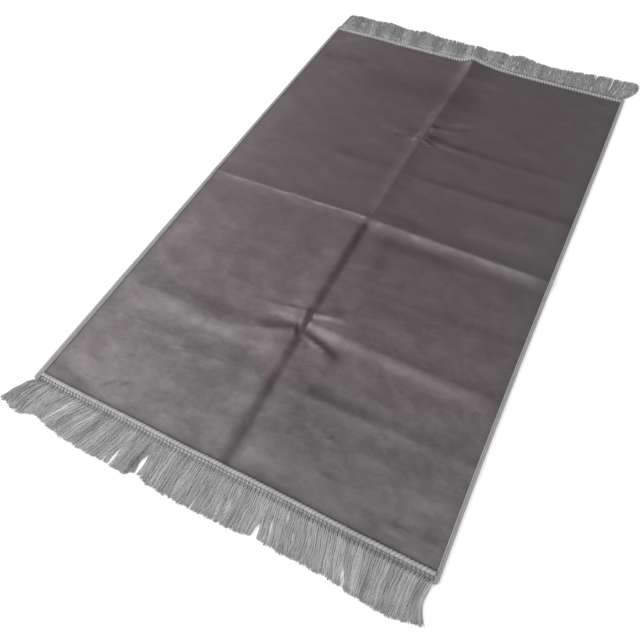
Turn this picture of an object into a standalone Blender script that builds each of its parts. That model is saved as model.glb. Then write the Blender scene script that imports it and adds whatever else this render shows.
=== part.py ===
"""A prayer rug of plain velvet, opened out on a floor, with a fringe at both ends.

The cloth is one thin sheet, which its fold marks lift a little from the floor. A yarn binding wraps
each long edge, a whip-stitched cord finishes each end, and past each cord lies a heading strip with
its fringe of locks. Lengths are metres: +X to the right, +Y from the near end to the far end, +Z up,
with the origin on the floor under the middle of the rug. The tables below are in millimetres.
"""
import math
from collections import namedtuple

import bmesh
import bpy
import numpy as np

MM = 0.001
COLLECTION = "prayer_rug"

# Driving sizes
CLEARANCE = 0.3 * MM           # between neighbouring pieces
CLOTH_THICKNESS = 2.0 * MM
CLOTH_END = 534.2 * MM         # from the middle of the rug to either end of the cloth
HALF_WIDTH = 335.0 * MM        # nominal, for spacing the cloth's columns
STITCHES = 108                 # whip stitches, and locks of fringe, at each end

# Binding of a long edge: yarn wound round the edge, outside, above and below it
BINDING_HEIGHT = 4.6 * MM
BINDING_LIP = 1.0 * MM
BINDING_WALL = 1.3 * MM
BINDING_SIDE_LEAN = 0.9 * MM   # how far the top and the bottom lie inside the widest place
CHANNEL_END_DEPTH = 0.4 * MM   # what is left of the channel past the cloth's end
CHANNEL_CLOSING = 0.4 * MM
CLOTH_SEAT = BINDING_LIP + CLEARANCE
SEAT_FLAT = 12.5 * MM          # the cloth lies level this far in from the rug's edge
SEAT_END = 38.0 * MM           # and has come down to the floor here

# Cord and heading strip of an end
CORD_WIDTH = 7.0 * MM
STITCH_DEPTH = 0.9 * MM
STITCH_SLANT = 0.45            # sideways run of a stitch for each step across the cord
STRIP_WIDTH = 8.2 * MM
STRIP_HEIGHT = 3.2 * MM
CORD_START = CLOTH_END + CLEARANCE
STRIP_START = CORD_START + CORD_WIDTH + CLEARANCE
FRINGE_ROOT = STRIP_START + STRIP_WIDTH
BINDING_END = FRINGE_ROOT - CLEARANCE

# Fringe locks: how the lengths and the crests vary from lock to lock, as waves along the fringe
LENGTH_SWAY = 0.035
LENGTH_SWAY_STEP = 2.4
CREST_SWAY = 0.12
CREST_SWAY_STEP = 1.7

# The rug's long edges: x at mid length, change towards the far end, outward bow at both ends, a slight
# wave, and the width of the binding at the near end and from mid length to the far end
Edge = namedtuple("Edge", "middle skew bow wave near_width far_width")
LEFT_EDGE = Edge(middle=-341.2, skew=0.8, bow=0.8, wave=0.0, near_width=11.4, far_width=7.4)
RIGHT_EDGE = Edge(middle=340.3, skew=2.3, bow=1.6, wave=4.0, near_width=7.4, far_width=7.4)
EDGE_HALF_LENGTH = 552.0
WIDENING_START = 130.0         # where a binding starts to widen towards the near end

# The ends lie a little out of square: how far each stretch of an end is shifted along Y
Stray = namedtuple("Stray", "x shift")
NEAR_END = (
    Stray(-340, 1.5),
    Stray(-270, 0.0),
    Stray(-150, -1.0),
    Stray(-60, -2.8),
    Stray(90, -3.0),
    Stray(210, -5.2),
    Stray(340, -5.6),
)
FAR_END = (
    Stray(-340, 1.8),
    Stray(-230, 1.5),
    Stray(-180, -1.3),
    Stray(-60, -2.8),
    Stray(20, -3.6),
    Stray(90, -4.7),
    Stray(130, -6.7),
    Stray(210, -7.8),
    Stray(340, -8.3),
)
STRAY_START = 400.0            # from the middle of the rug: where the shift starts,
STRAY_FULL = 534.0             # and where it is whole

# The fold across the middle: a ridge at y, with its rise and its reach on the near and far sides
Crosswise = namedtuple("Crosswise", "x y rise near_reach far_reach")
MIDDLE_FOLD = (
    Crosswise(-350, -17.5, 2.4, 22, 36),
    Crosswise(-20, -9.5, 3.2, 22, 36),
    Crosswise(20, -12.0, 5.6, 27, 38),
    Crosswise(350, -16.5, 5.0, 25, 38),
)

# The lengthwise fold: a valley between two raised flanks in the near half, a ridge in the far half
Lengthwise = namedtuple("Lengthwise", "y x ridge left_reach right_reach flank")
SPINE_FOLD = (
    Lengthwise(-552, 7.0, 0.0, 20, 36, 1.6),
    Lengthwise(-300, 1.0, 0.0, 20, 36, 2.8),
    Lengthwise(-240, -0.5, 0.0, 20, 36, 2.8),
    Lengthwise(-44, -5.0, 0.0, 20, 36, 3.0),
    Lengthwise(-12, -3.5, 1.6, 20, 36, 0.8),
    Lengthwise(30, -2.0, 2.2, 24, 36, 0.0),
    Lengthwise(190, -2.0, 2.6, 22, 38, 0.0),
    Lengthwise(300, 2.5, 3.2, 22, 46, 0.0),
    Lengthwise(380, 6.0, 4.0, 24, 56, 0.0),
    Lengthwise(430, 7.5, 4.2, 26, 60, 0.0),
    Lengthwise(500, 9.5, 7.5, 30, 65, 0.0),
    Lengthwise(552, 6.0, 13.5, 36, 90, 0.0),
)
# The valley lies a little to the right of the fold's line: a steep wall comes down to it from the left
# flank, and the right flank rises gently
VALLEY_SHIFT = 9.0
STEEP_WALL = 19.0
GENTLE_WALL = 36.0
GENTLE_SHARE = 0.5             # height of the right flank, as a share of the left one
FLANK_REACH = 66.0

# Shorter ridges: the two pinches where folds cross, and the faint folds across the rug.
# Each runs towards +X, with its reach on the near and far sides and how it fades at both ends.
Ridge = namedtuple("Ridge", "x1 y1 x2 y2 rise near_reach far_reach fade_in fade_out")
SHORT_RIDGES = (
    Ridge(2, -249, 66, -232, 2.2, 10, 8, 7, 40),          # near pinch, right-hand arms
    Ridge(3, -267, 130, -266, 3.2, 24, 9, 7, 90),
    Ridge(3, -289, 88, -317, 3.2, 9, 16, 6, 50),
    Ridge(-112, -262, -3, -249, 3.2, 24, 10, 80, 7),      # near pinch, left-hand arms
    Ridge(-132, -334, -3, -288, 3.4, 18, 30, 85, 7),
    Ridge(40, -268, 356, -274, 3.0, 44, 26, 70, 1),       # fold right of the near pinch
    Ridge(-356, -314, -60, -321, 2.4, 54, 30, 1, 100),    # swell left of the near pinch
    Ridge(4, 279, 86, 298, 1.8, 12, 11, 6, 55),           # far pinch
    Ridge(5, 251, 140, 236, 1.8, 14, 20, 6, 90),
    Ridge(3, 238, 42, 226, 1.4, 7, 8, 5, 22),
    Ridge(-70, 234, -4, 241, 1.2, 12, 8, 50, 6),
    Ridge(90, 243, 356, 241, 0.8, 22, 24, 60, 90),        # faint folds across the rug
    Ridge(25, 127, 356, 127, 1.8, 44, 28, 45, 1),
    Ridge(-190, 128, -20, 130, 1.0, 30, 30, 60, 40),
    Ridge(140, -158, 356, -159, 0.7, 22, 18, 60, 1),
    Ridge(-300, -387, -8, -386, 1.2, 14, 26, 60, 30),
    Ridge(8, -387, 356, -386, 1.2, 22, 26, 30, 1),
)

# Places along the cloth where its grid is fine, with the spacing there
Mark = namedtuple("Mark", "at spacing")
MIDDLE_ROW = -14.0
COLUMN_MARKS = (Mark(-335, 9), Mark(-326, 24), Mark(0, 6.5), Mark(326, 24), Mark(335, 9))
ROW_MARKS = (Mark(-534.2, 24), Mark(-387, 17), Mark(-289, 12), Mark(-263, 11), Mark(MIDDLE_ROW, 7),
             Mark(127, 18), Mark(251, 14), Mark(534.2, 24))
COARSE_SPACING = 42.0
SPACING_GROWTH = 0.33
DRIFT_REACH = 90.0             # how far to the sides the grid bends along with a fold

# Cord section, starting at its foot: across the cord from the cloth outwards, height, and whether
# the stitches swell there
CordPoint = namedtuple("CordPoint", "across height swells")
CORD_SECTION = (
    CordPoint(1.2, 0.0, False),
    CordPoint(5.8, 0.0, False),
    CordPoint(7.0, 2.5, True),
    CordPoint(3.5, 6.0, True),
    CordPoint(0.0, 2.5, True),
)
CORD_CORE = CordPoint(3.5, 2.5, False)

# The locks of each fringe by the place of their roots: sideways shift half-way and at the tip, length
# from root to tip, and how far a corner's locks spread to the side straight past the binding
Lock = namedtuple("Lock", "x middle tip length spread", defaults=(0,))
NEAR_LOCKS = (
    Lock(-330, -18, -35, 48, -12),
    Lock(-318, -12, -20, 56, -4),
    Lock(-300, -8, -15, 56),
    Lock(-286, -8, -11, 51),
    Lock(-265, -14, -22, 49),
    Lock(-235, -18, -30, 54),
    Lock(-200, -13, -24, 60),
    Lock(-165, -7, -14, 60),
    Lock(-143, -5, -10, 60),
    Lock(-118, -3, -4, 62),
    Lock(-100, -2, -2, 54),
    Lock(-80, -1, -1, 58),
    Lock(0, 0, 1, 61),
    Lock(60, 2, 3, 59),
    Lock(92, 3, 5, 54),
    Lock(108, 5, 11, 55),
    Lock(150, 8, 15, 55),
    Lock(195, 8, 16, 55),
    Lock(212, 8, 17, 57),
    Lock(250, 4, 8, 59),
    Lock(290, 0, 1, 61),
    Lock(320, -3, 1, 56),
    Lock(332, -3, 6, 51),
)
FAR_LOCKS = (
    Lock(-332, 1, 1, 57, -6),
    Lock(-318, -4, -7, 60),
    Lock(-290, -6, -13, 63),
    Lock(-250, -7, -16, 60),
    Lock(-210, -7, -16, 67),
    Lock(-180, -6, -12, 61),
    Lock(-155, -5, -10, 60),
    Lock(-125, -5, -10, 68),
    Lock(-90, -5, -10, 60),
    Lock(-45, -4, -9, 60),
    Lock(-15, -3, -7, 57),
    Lock(8, -2, -5, 63),
    Lock(25, -2, -4, 55),
    Lock(60, -1, -3, 62),
    Lock(78, -2, -3, 55),
    Lock(105, -2, -4, 66),
    Lock(145, -3, -6, 55),
    Lock(185, -2, -4, 52),
    Lock(225, 0, 0, 56),
    Lock(270, 1, 2, 63),
    Lock(305, 3, 4, 66),
    Lock(322, 8, 11, 66),
    Lock(332, 17, 21, 69),
    Lock(337, 22, 25, 63, 5),
)
SPREAD_SHARE = 0.1             # share of its length where a corner's lock has spread to the side

# Sections of one lock: share of its length, share of the pitch it fills, height of its crest
LockSection = namedtuple("LockSection", "share fill crest")
LOCK_SECTIONS = (
    LockSection(0.10, 0.80, 3.3),
    LockSection(0.50, 0.76, 2.7),
    LockSection(1.00, 0.62, 1.4),
)

# Materials: linear base colour and roughness
Finish = namedtuple("Finish", "name colour roughness")
VELVET = Finish("velvet", (0.150, 0.125, 0.134), 0.85)
BINDING_YARN = Finish("binding_yarn", (0.330, 0.320, 0.325), 0.80)
CORD_YARN = Finish("cord_yarn", (0.430, 0.420, 0.425), 0.75)
FRINGE_YARN = Finish("fringe_yarn", (0.380, 0.375, 0.380), 0.70)


def between(table, key, value, wanted):
    """One column of a table at a value of its key column, straight between the rows."""
    return np.interp(value, [getattr(row, key) for row in table], [getattr(row, wanted) for row in table])


def ease(share):
    """Smooth step from 0 to 1."""
    share = np.clip(share, 0.0, 1.0)
    return share * share * (3.0 - 2.0 * share)


def ridge_profile(across, minus_reach, plus_reach):
    """Crest of 1 that falls to 0 at its reach on either side, steepest beside the crest."""
    reach = np.where(across < 0.0, minus_reach, plus_reach)
    return np.clip(1.0 - np.abs(across) / reach, 0.0, 1.0) ** 2


def valley_profile(across):
    """Valley of 0 with a steep wall up to a left flank of 1, and a gentle one up to the right flank."""
    away = across - VALLEY_SHIFT
    left = ease(-away / STEEP_WALL) * ease((FLANK_REACH + away) / (FLANK_REACH - STEEP_WALL))
    right = GENTLE_SHARE * ease(away / GENTLE_WALL) * ease((FLANK_REACH - away) / (FLANK_REACH - GENTLE_WALL))
    return np.where(away < 0.0, left, right)


def short_ridge(ridge, x, y):
    """Height of one short ridge, in millimetres like its row."""
    run = math.hypot(ridge.x2 - ridge.x1, ridge.y2 - ridge.y1)
    ahead_x = (ridge.x2 - ridge.x1) / run
    ahead_y = (ridge.y2 - ridge.y1) / run
    along = (x - ridge.x1) * ahead_x + (y - ridge.y1) * ahead_y
    across = (y - ridge.y1) * ahead_x - (x - ridge.x1) * ahead_y
    fading = ease(along / ridge.fade_in) * ease((run - along) / ridge.fade_out)
    return ridge.rise * fading * ridge_profile(across, ridge.near_reach, ridge.far_reach)


def lift(x, y):
    """Height that the fold marks give the rug over the floor."""
    x = x / MM
    y = y / MM
    crosswise = between(MIDDLE_FOLD, "x", x, "rise") * ridge_profile(
        y - between(MIDDLE_FOLD, "x", x, "y"),
        between(MIDDLE_FOLD, "x", x, "near_reach"),
        between(MIDDLE_FOLD, "x", x, "far_reach"))
    from_spine = x - between(SPINE_FOLD, "y", y, "x")
    lengthwise = between(SPINE_FOLD, "y", y, "ridge") * ridge_profile(
        from_spine,
        between(SPINE_FOLD, "y", y, "left_reach"),
        between(SPINE_FOLD, "y", y, "right_reach"))
    flanks = between(SPINE_FOLD, "y", y, "flank") * valley_profile(from_spine)
    height = np.maximum(crosswise, lengthwise) + flanks
    for ridge in SHORT_RIDGES:
        height = height + short_ridge(ridge, x, y)
    return height * MM


def edge_x(edge, y):
    """X of one long edge of the rug."""
    share = y / MM / EDGE_HALF_LENGTH
    wave = edge.wave * (share - share ** 3)
    return (edge.middle + edge.skew * share + edge.bow * share * share + wave) * MM


def askew_y(x, y):
    """Y of a place once the rug's ends lie out of square."""
    share = ease((abs(y) / MM - STRAY_START) / (STRAY_FULL - STRAY_START))
    return y + between(FAR_END if y > 0.0 else NEAR_END, "x", x / MM, "shift") * share * MM


def binding_width(edge, y):
    """Width of the binding of one long edge."""
    widening = np.clip((WIDENING_START - y / MM) / (WIDENING_START + EDGE_HALF_LENGTH), 0.0, 1.0)
    return (edge.far_width + (edge.near_width - edge.far_width) * widening) * MM


def inside_x(share, y):
    """X at a share of the way from the left binding to the right one, clear of both."""
    left = edge_x(LEFT_EDGE, y) + binding_width(LEFT_EDGE, y) + CLEARANCE
    right = edge_x(RIGHT_EDGE, y) - binding_width(RIGHT_EDGE, y) - CLEARANCE
    return left + (right - left) * share


def stations(marks):
    """Grid positions in metres that hit every mark and spread out between the marks."""
    positions = [marks[0].at]
    for first, second in zip(marks, marks[1:]):
        steps = [0.0]
        span = second.at - first.at
        while steps[-1] < span - 0.5 * min(first.spacing, second.spacing):
            spacing = min(first.spacing + SPACING_GROWTH * steps[-1],
                          second.spacing + SPACING_GROWTH * (span - steps[-1]),
                          COARSE_SPACING)
            steps.append(steps[-1] + spacing)
        positions += [first.at + step * span / steps[-1] for step in steps[1:]]
    return [position * MM for position in positions]


def beside_fold(x, y):
    """Y of a grid row at x, bent along with the fold across the middle."""
    fold_y = between(MIDDLE_FOLD, "x", x / MM, "y")
    from_fold = (y / MM - MIDDLE_ROW) / DRIFT_REACH
    return y + (fold_y - MIDDLE_ROW) * MM * math.exp(-from_fold ** 2)


def finish(obj, look):
    """Give an object its material, which pieces of the same yarn share."""
    material = bpy.data.materials.get(look.name) or bpy.data.materials.new(look.name)
    material.use_nodes = True
    shader = material.node_tree.nodes["Principled BSDF"]
    shader.inputs["Base Color"].default_value = (*look.colour, 1.0)
    shader.inputs["Roughness"].default_value = look.roughness
    shader.inputs["Metallic"].default_value = 0.0
    obj.data.materials.append(material)


def add_object(name, bm, look, collection):
    """Object of one piece, which was shaped as if the rug's ends were square."""
    for vertex in bm.verts:
        vertex.co.y = askew_y(vertex.co.x, vertex.co.y)
    mesh = bpy.data.meshes.new(name)
    bm.to_mesh(mesh)
    bm.free()
    obj = bpy.data.objects.new(name, mesh)
    collection.objects.link(obj)
    finish(obj, look)
    return obj


def shaped_grid(column_count, row_count, place):
    """Grid whose vertex in each column and row goes where place(column, row) says."""
    bm = bmesh.new()
    bmesh.ops.create_grid(bm, x_segments=column_count - 1, y_segments=row_count - 1, size=1.0)
    for vertex in bm.verts:
        column = round((vertex.co.x + 1.0) / 2.0 * (column_count - 1))
        row = round((vertex.co.y + 1.0) / 2.0 * (row_count - 1))
        vertex.co = place(column, row)
    return bm


def swept_body(points, rings, place):
    """Closed body: a grid rolled up into a tube of rings, with both ends filled."""
    bm = shaped_grid(points + 1, rings, lambda column, row: place(column % points, row))
    bmesh.ops.remove_doubles(bm, verts=bm.verts, dist=0.01 * MM)
    bmesh.ops.holes_fill(bm, edges=bm.edges, sides=0)
    bmesh.ops.recalc_face_normals(bm, faces=bm.faces)
    return bm


def seat(x, y):
    """Height that the lower lips of the bindings give the cloth near its long edges."""
    inset = np.minimum(x - edge_x(LEFT_EDGE, y), edge_x(RIGHT_EDGE, y) - x)
    return CLOTH_SEAT * (1.0 - ease((inset - SEAT_FLAT) / (SEAT_END - SEAT_FLAT)))


def add_cloth(collection):
    columns = stations(COLUMN_MARKS)
    rows = stations(ROW_MARKS)

    def place(column, row):
        edge = RIGHT_EDGE if columns[column] > 0.0 else LEFT_EDGE
        half_width = abs(edge_x(edge, rows[row])) - BINDING_WALL - CLEARANCE
        x = columns[column] / HALF_WIDTH * half_width
        from_spine = x / MM / DRIFT_REACH
        x += between(SPINE_FOLD, "y", rows[row] / MM, "x") * MM * math.exp(-from_spine ** 2)
        y = beside_fold(x, rows[row])
        return (x, y, lift(x, y) + seat(x, y))

    cloth = add_object("rug_cloth", shaped_grid(len(columns), len(rows), place), VELVET, collection)
    thickness = cloth.modifiers.new("thickness", "SOLIDIFY")
    thickness.thickness = CLOTH_THICKNESS
    thickness.offset = 1.0
    return cloth


def binding_section(edge, y):
    """Points of the binding's section: distance in from the rug's edge, and height."""
    width = binding_width(edge, y)
    past_cloth = abs(y) > CORD_START + 0.5 * CHANNEL_CLOSING
    channel_back = width - CHANNEL_END_DEPTH if past_cloth else BINDING_WALL
    return (
        (width, 0.0),
        (BINDING_SIDE_LEAN, 0.0),
        (0.0, 0.5 * BINDING_HEIGHT),
        (BINDING_SIDE_LEAN, BINDING_HEIGHT),
        (width, BINDING_HEIGHT - CLEARANCE),
        (width, BINDING_HEIGHT - BINDING_LIP),
        (channel_back, BINDING_HEIGHT - BINDING_LIP),
        (channel_back, BINDING_LIP),
        (width, BINDING_LIP),
    )


def add_binding(name, edge, inward, collection):
    """Binding of one long edge; inward is the direction along X from that edge to the cloth."""
    ends = [CORD_START, CORD_START + CHANNEL_CLOSING, BINDING_END]
    rows = [-end for end in reversed(ends)] + stations(ROW_MARKS)[1:-1] + ends

    def place(point, row):
        inset, height = binding_section(edge, rows[row])[point]
        y = beside_fold(edge_x(edge, rows[row]), rows[row])
        x = edge_x(edge, y) + inward * inset
        return (x, y, lift(x, y) + height)

    bm = swept_body(len(binding_section(edge, 0.0)), len(rows), place)
    return add_object(name, bm, BINDING_YARN, collection)


def add_cord(name, side, collection):
    """Whip-stitched cord of one end; side is -1 at the near end and +1 at the far end."""
    rings = 2 * STITCHES + 1
    middle = side * (CORD_START + 0.5 * CORD_WIDTH)

    def place(index, ring):
        point = CORD_SECTION[index]
        across = point.across
        height = point.height
        pulled_in = point.swells and ring % 2 == 0
        if pulled_in:
            reach = math.hypot(across - CORD_CORE.across, height - CORD_CORE.height)
            kept = 1.0 - STITCH_DEPTH / MM / reach
            across = CORD_CORE.across + (across - CORD_CORE.across) * kept
            height = CORD_CORE.height + (height - CORD_CORE.height) * kept
        y = side * (CORD_START + across * MM)
        slant = STITCH_SLANT * (y - middle) if 0 < ring < rings - 1 and point.swells else 0.0
        x = inside_x(ring / (rings - 1), y) + slant
        return (x, y, lift(x, y) + height * MM)

    bm = swept_body(len(CORD_SECTION), rings, place)
    return add_object(name, bm, CORD_YARN, collection)


def lock_place(root_x, share, side, locks):
    """Where the line of yarn that starts at root_x has got to at a share of its length."""
    root = root_x / MM
    middle = between(locks, "x", root, "middle")
    tip = between(locks, "x", root, "tip")
    length = between(locks, "x", root, "length")
    spread = between(locks, "x", root, "spread") * ease(share / SPREAD_SHARE) * max(0.0, 1.0 - share)
    shift = share * (4.0 * middle - tip) + share ** 2 * (2.0 * tip - 4.0 * middle) + spread
    floor = lift(root_x, side * FRINGE_ROOT) * max(0.0, 1.0 - share) ** 2
    return (root_x + shift * MM, side * (FRINGE_ROOT + share * length * MM), floor)


def lay_lock(face, lock, on_crest, section, side, locks):
    """Move the end of one lock out to its next section: two feet on the floor and one crest."""
    share = section.share * (1.0 + LENGTH_SWAY * math.sin(LENGTH_SWAY_STEP * lock))
    crest = section.crest * (1.0 + CREST_SWAY * math.sin(CREST_SWAY_STEP * lock)) * MM
    pitch = inside_x(1.0 / STITCHES, side * FRINGE_ROOT) - inside_x(0.0, side * FRINGE_ROOT)
    centre = inside_x((lock + 0.5) / STITCHES, side * FRINGE_ROOT)
    feet = sorted((vertex for vertex in face.verts if not vertex[on_crest]), key=lambda vertex: vertex.co.x)
    for foot, way in zip(feet, (-0.5, 0.5)):
        foot.co = lock_place(centre + way * section.fill * pitch, share, side, locks)
    for vertex in face.verts:
        if vertex[on_crest]:
            vertex.co = lock_place(centre, share, side, locks)
            vertex.co.z += crest


def add_fringe(name, side, locks, collection):
    """Heading strip of one end, with a lock grown out of each of its outer faces."""
    section = (
        (STRIP_START, 0.0),
        (FRINGE_ROOT, 0.0),
        (FRINGE_ROOT, STRIP_HEIGHT),
        (STRIP_START, STRIP_HEIGHT),
    )

    def place(point, ring):
        reach, height = section[point]
        x = inside_x(ring / STITCHES, side * reach)
        return (x, side * reach, lift(x, side * FRINGE_ROOT) + height)

    bm = swept_body(len(section), STITCHES + 1, place)
    number = bm.faces.layers.int.new("lock")
    on_crest = bm.verts.layers.int.new("crest")
    for vertex in bm.verts:
        rise = vertex.co.z - lift(vertex.co.x, side * FRINGE_ROOT)
        vertex[on_crest] = int(rise > 0.5 * STRIP_HEIGHT)
    ends = [face for face in bm.faces
            if all(abs(vertex.co.y - side * FRINGE_ROOT) < 0.01 * MM for vertex in face.verts)]
    ends.sort(key=lambda face: face.calc_center_median().x)
    for index, face in enumerate(ends):
        face[number] = index
    for lock_section in LOCK_SECTIONS:
        ends = bmesh.ops.extrude_discrete_faces(bm, faces=ends)["faces"]
        for face in ends:
            lay_lock(face, face[number], on_crest, lock_section, side, locks)
    bmesh.ops.remove_doubles(bm, verts=bm.verts, dist=0.01 * MM)
    bmesh.ops.recalc_face_normals(bm, faces=bm.faces)
    return add_object(name, bm, FRINGE_YARN, collection)


def main():
    for obj in list(bpy.data.objects):
        bpy.data.objects.remove(obj, do_unlink=True)
    rug = bpy.data.collections.new(COLLECTION)
    bpy.context.scene.collection.children.link(rug)
    add_cloth(rug)
    add_binding("binding_left", LEFT_EDGE, 1.0, rug)
    add_binding("binding_right", RIGHT_EDGE, -1.0, rug)
    add_cord("cord_near", -1.0, rug)
    add_cord("cord_far", 1.0, rug)
    add_fringe("fringe_near", -1.0, NEAR_LOCKS, rug)
    add_fringe("fringe_far", 1.0, FAR_LOCKS, rug)


main()
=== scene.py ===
"""A prayer rug of plain mauve-grey velvet, opened out on a pale floor, with a fringe at both ends.

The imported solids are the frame. Each of them is replaced by a finer piece in the same place: the velvet
sheet with its fold marks and nap, the wound bindings of the long edges, the whip-stitched cords of the
ends, and the headings with their chain stitches and yarn fringes. Values times MM are in metres. The
tables are in millimetres, and so are the sizes without MM that go with them.
"""
import math
from collections import namedtuple

import bmesh
import bpy
import numpy as np
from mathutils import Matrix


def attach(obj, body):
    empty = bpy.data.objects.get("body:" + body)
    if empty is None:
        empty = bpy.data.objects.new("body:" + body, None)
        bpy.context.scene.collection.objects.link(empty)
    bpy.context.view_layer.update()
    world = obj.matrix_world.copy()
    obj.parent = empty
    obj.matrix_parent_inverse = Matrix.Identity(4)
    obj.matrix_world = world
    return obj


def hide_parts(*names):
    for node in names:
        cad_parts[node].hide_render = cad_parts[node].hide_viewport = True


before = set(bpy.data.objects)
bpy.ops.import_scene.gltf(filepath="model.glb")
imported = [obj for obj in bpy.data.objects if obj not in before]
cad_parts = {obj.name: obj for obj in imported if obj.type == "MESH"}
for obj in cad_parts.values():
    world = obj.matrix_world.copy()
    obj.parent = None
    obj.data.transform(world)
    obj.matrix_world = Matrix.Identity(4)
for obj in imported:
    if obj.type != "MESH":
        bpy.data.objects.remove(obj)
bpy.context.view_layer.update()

MM = 0.001
TURN = 2.0 * math.pi
BODY = "root"


def table_of(kind, *rows):
    """Table whose rows have named columns."""
    return [kind(*row) for row in rows]


# -------------------- sizes, the same as the solids have
CLEARANCE = 0.3 * MM
CLOTH_THICKNESS = 2.0 * MM
CLOTH_END = 534.2 * MM
HALF_WIDTH = 335.0 * MM
STITCHES = 108
BINDING_WALL = 1.3 * MM
BINDING_LIP = 1.0 * MM
CLOTH_SEAT = BINDING_LIP + CLEARANCE
SEAT_FLAT = 12.5 * MM
SEAT_END = 38.0 * MM
CORD_WIDTH = 7.0 * MM
CORD_START = CLOTH_END + CLEARANCE
STRIP_START = CORD_START + CORD_WIDTH + CLEARANCE
STRIP_WIDTH = 8.2 * MM
FRINGE_ROOT = STRIP_START + STRIP_WIDTH
BINDING_END = FRINGE_ROOT - CLEARANCE

# The rug's long edges: x at mid length, change towards the far end, outward bow at both ends, a slight
# wave, and the width of the binding at the near end and from mid length to the far end
Edge = namedtuple("Edge", "middle skew bow wave near_width far_width")
LEFT_EDGE = Edge(-341.2, 0.8, 0.8, 0.0, 11.4, 7.4)
RIGHT_EDGE = Edge(340.3, 2.3, 1.6, 4.0, 6.3, 6.3)
EDGE_HALF_LENGTH = 552.0
WIDENING_START = 130.0  # where a binding starts to widen towards the near end,
WIDENING_FULL = -330.0  # and where it has its whole width

# The ends lie a little out of square: how far each stretch of an end is shifted along Y
Stray = namedtuple("Stray", "x shift")
NEAR_END = table_of(
    Stray,
    (-340, 1.5), (-270, 0), (-150, -1), (-60, -2.8), (90, -3), (210, -5.2), (340, -5.6),
)
FAR_END = table_of(
    Stray,
    (-340, 1.8), (-230, 1.5), (-180, -1.3), (-60, -2.8), (20, -3.6), (90, -4.7), (130, -6.7),
    (210, -7.8), (340, -8.3),
)
STRAY_START = 400.0  # from the middle of the rug: where the shift starts,
STRAY_FULL = 534.0  # and where it is whole

# The fold across the middle: a ridge at y, with its rise and its reach on the near and far sides
Crosswise = namedtuple("Crosswise", "x y rise near_reach far_reach")
MIDDLE_FOLD = table_of(
    Crosswise,
    (-350, -17.5, 0.6, 22, 36), (-316, -16.7, 2.5, 22, 36), (-20, -9.5, 3.2, 22, 36),
    (20, -12, 5.6, 27, 38), (305, -15.9, 5, 25, 38), (350, -16.5, 2.2, 25, 38),
)

# The lengthwise fold: a valley between two raised flanks in the near half, a ridge in the far half
Lengthwise = namedtuple("Lengthwise", "y x ridge left_reach right_reach flank")
SPINE_FOLD = table_of(
    Lengthwise,
    (-552, 7, 0, 20, 36, 1.6), (-300, 1, 0, 20, 36, 2.8), (-240, -0.5, 0, 20, 36, 2.8),
    (-44, -5, 0, 20, 36, 3), (-12, -3.5, 1.6, 20, 36, 0.8), (30, -2, 2.2, 24, 36, 0),
    (190, -2, 2.6, 22, 38, 0), (300, 2.5, 3.2, 22, 46, 0), (380, 6, 4, 24, 56, 0),
    (430, 7.5, 4.2, 26, 60, 0), (500, 9.5, 7.5, 30, 65, 0), (552, 6, 13.5, 36, 90, 0),
)
# The valley lies a little to the right of the fold's line: a steep wall comes down to it from the left
# flank, and the right flank rises gently
VALLEY_SHIFT = 9.0
STEEP_WALL = 19.0
GENTLE_WALL = 36.0
GENTLE_SHARE = 0.5  # height of the right flank, as a share of the left one
FLANK_REACH = 66.0

# Shorter ridges: the two pinches where folds cross, and the faint folds across the rug.
# Each runs towards +X, with its rise, its reach on the near and far sides and how it fades at both ends.
Band = namedtuple("Band", "x1 y1 x2 y2 peak near_reach far_reach fade_in fade_out")
SHORT_RIDGES = table_of(
    Band,
    # near pinch, right-hand arms, then left-hand ones
    (2, -249, 66, -232, 2.2, 10, 8, 7, 40), (3, -267, 130, -266, 3.2, 24, 9, 7, 90),
    (3, -289, 88, -317, 3.2, 9, 16, 6, 50), (-112, -262, -3, -249, 3.2, 24, 10, 80, 7),
    (-132, -334, -3, -288, 3.4, 18, 30, 85, 7),
    # fold right of the near pinch, and swell left of it
    (40, -268, 356, -274, 3, 44, 26, 70, 55), (-356, -319, -60, -325, 2.4, 52, 34, 55, 100),
    # far pinch
    (4, 279, 86, 298, 1.8, 12, 11, 6, 55), (5, 247, 140, 234, 1.6, 14, 22, 6, 90),
    (3, 238, 42, 226, 1.4, 7, 8, 5, 22), (-70, 234, -4, 241, 1.2, 12, 8, 50, 6),
    # faint folds across the rug
    (90, 238, 356, 237, 0.8, 22, 30, 60, 90), (25, 127, 356, 127, 1.8, 44, 28, 45, 40),
    (-190, 128, -20, 130, 1, 30, 30, 60, 40), (140, -158, 356, -159, 0.7, 22, 18, 60, 1),
    (-300, -387, -8, -386, 1.2, 14, 26, 60, 30), (8, -387, 356, -386, 1.2, 22, 26, 30, 1),
)
CREST_ROUNDING = 2.4  # radius that real cloth keeps at the crest of a fold

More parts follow.
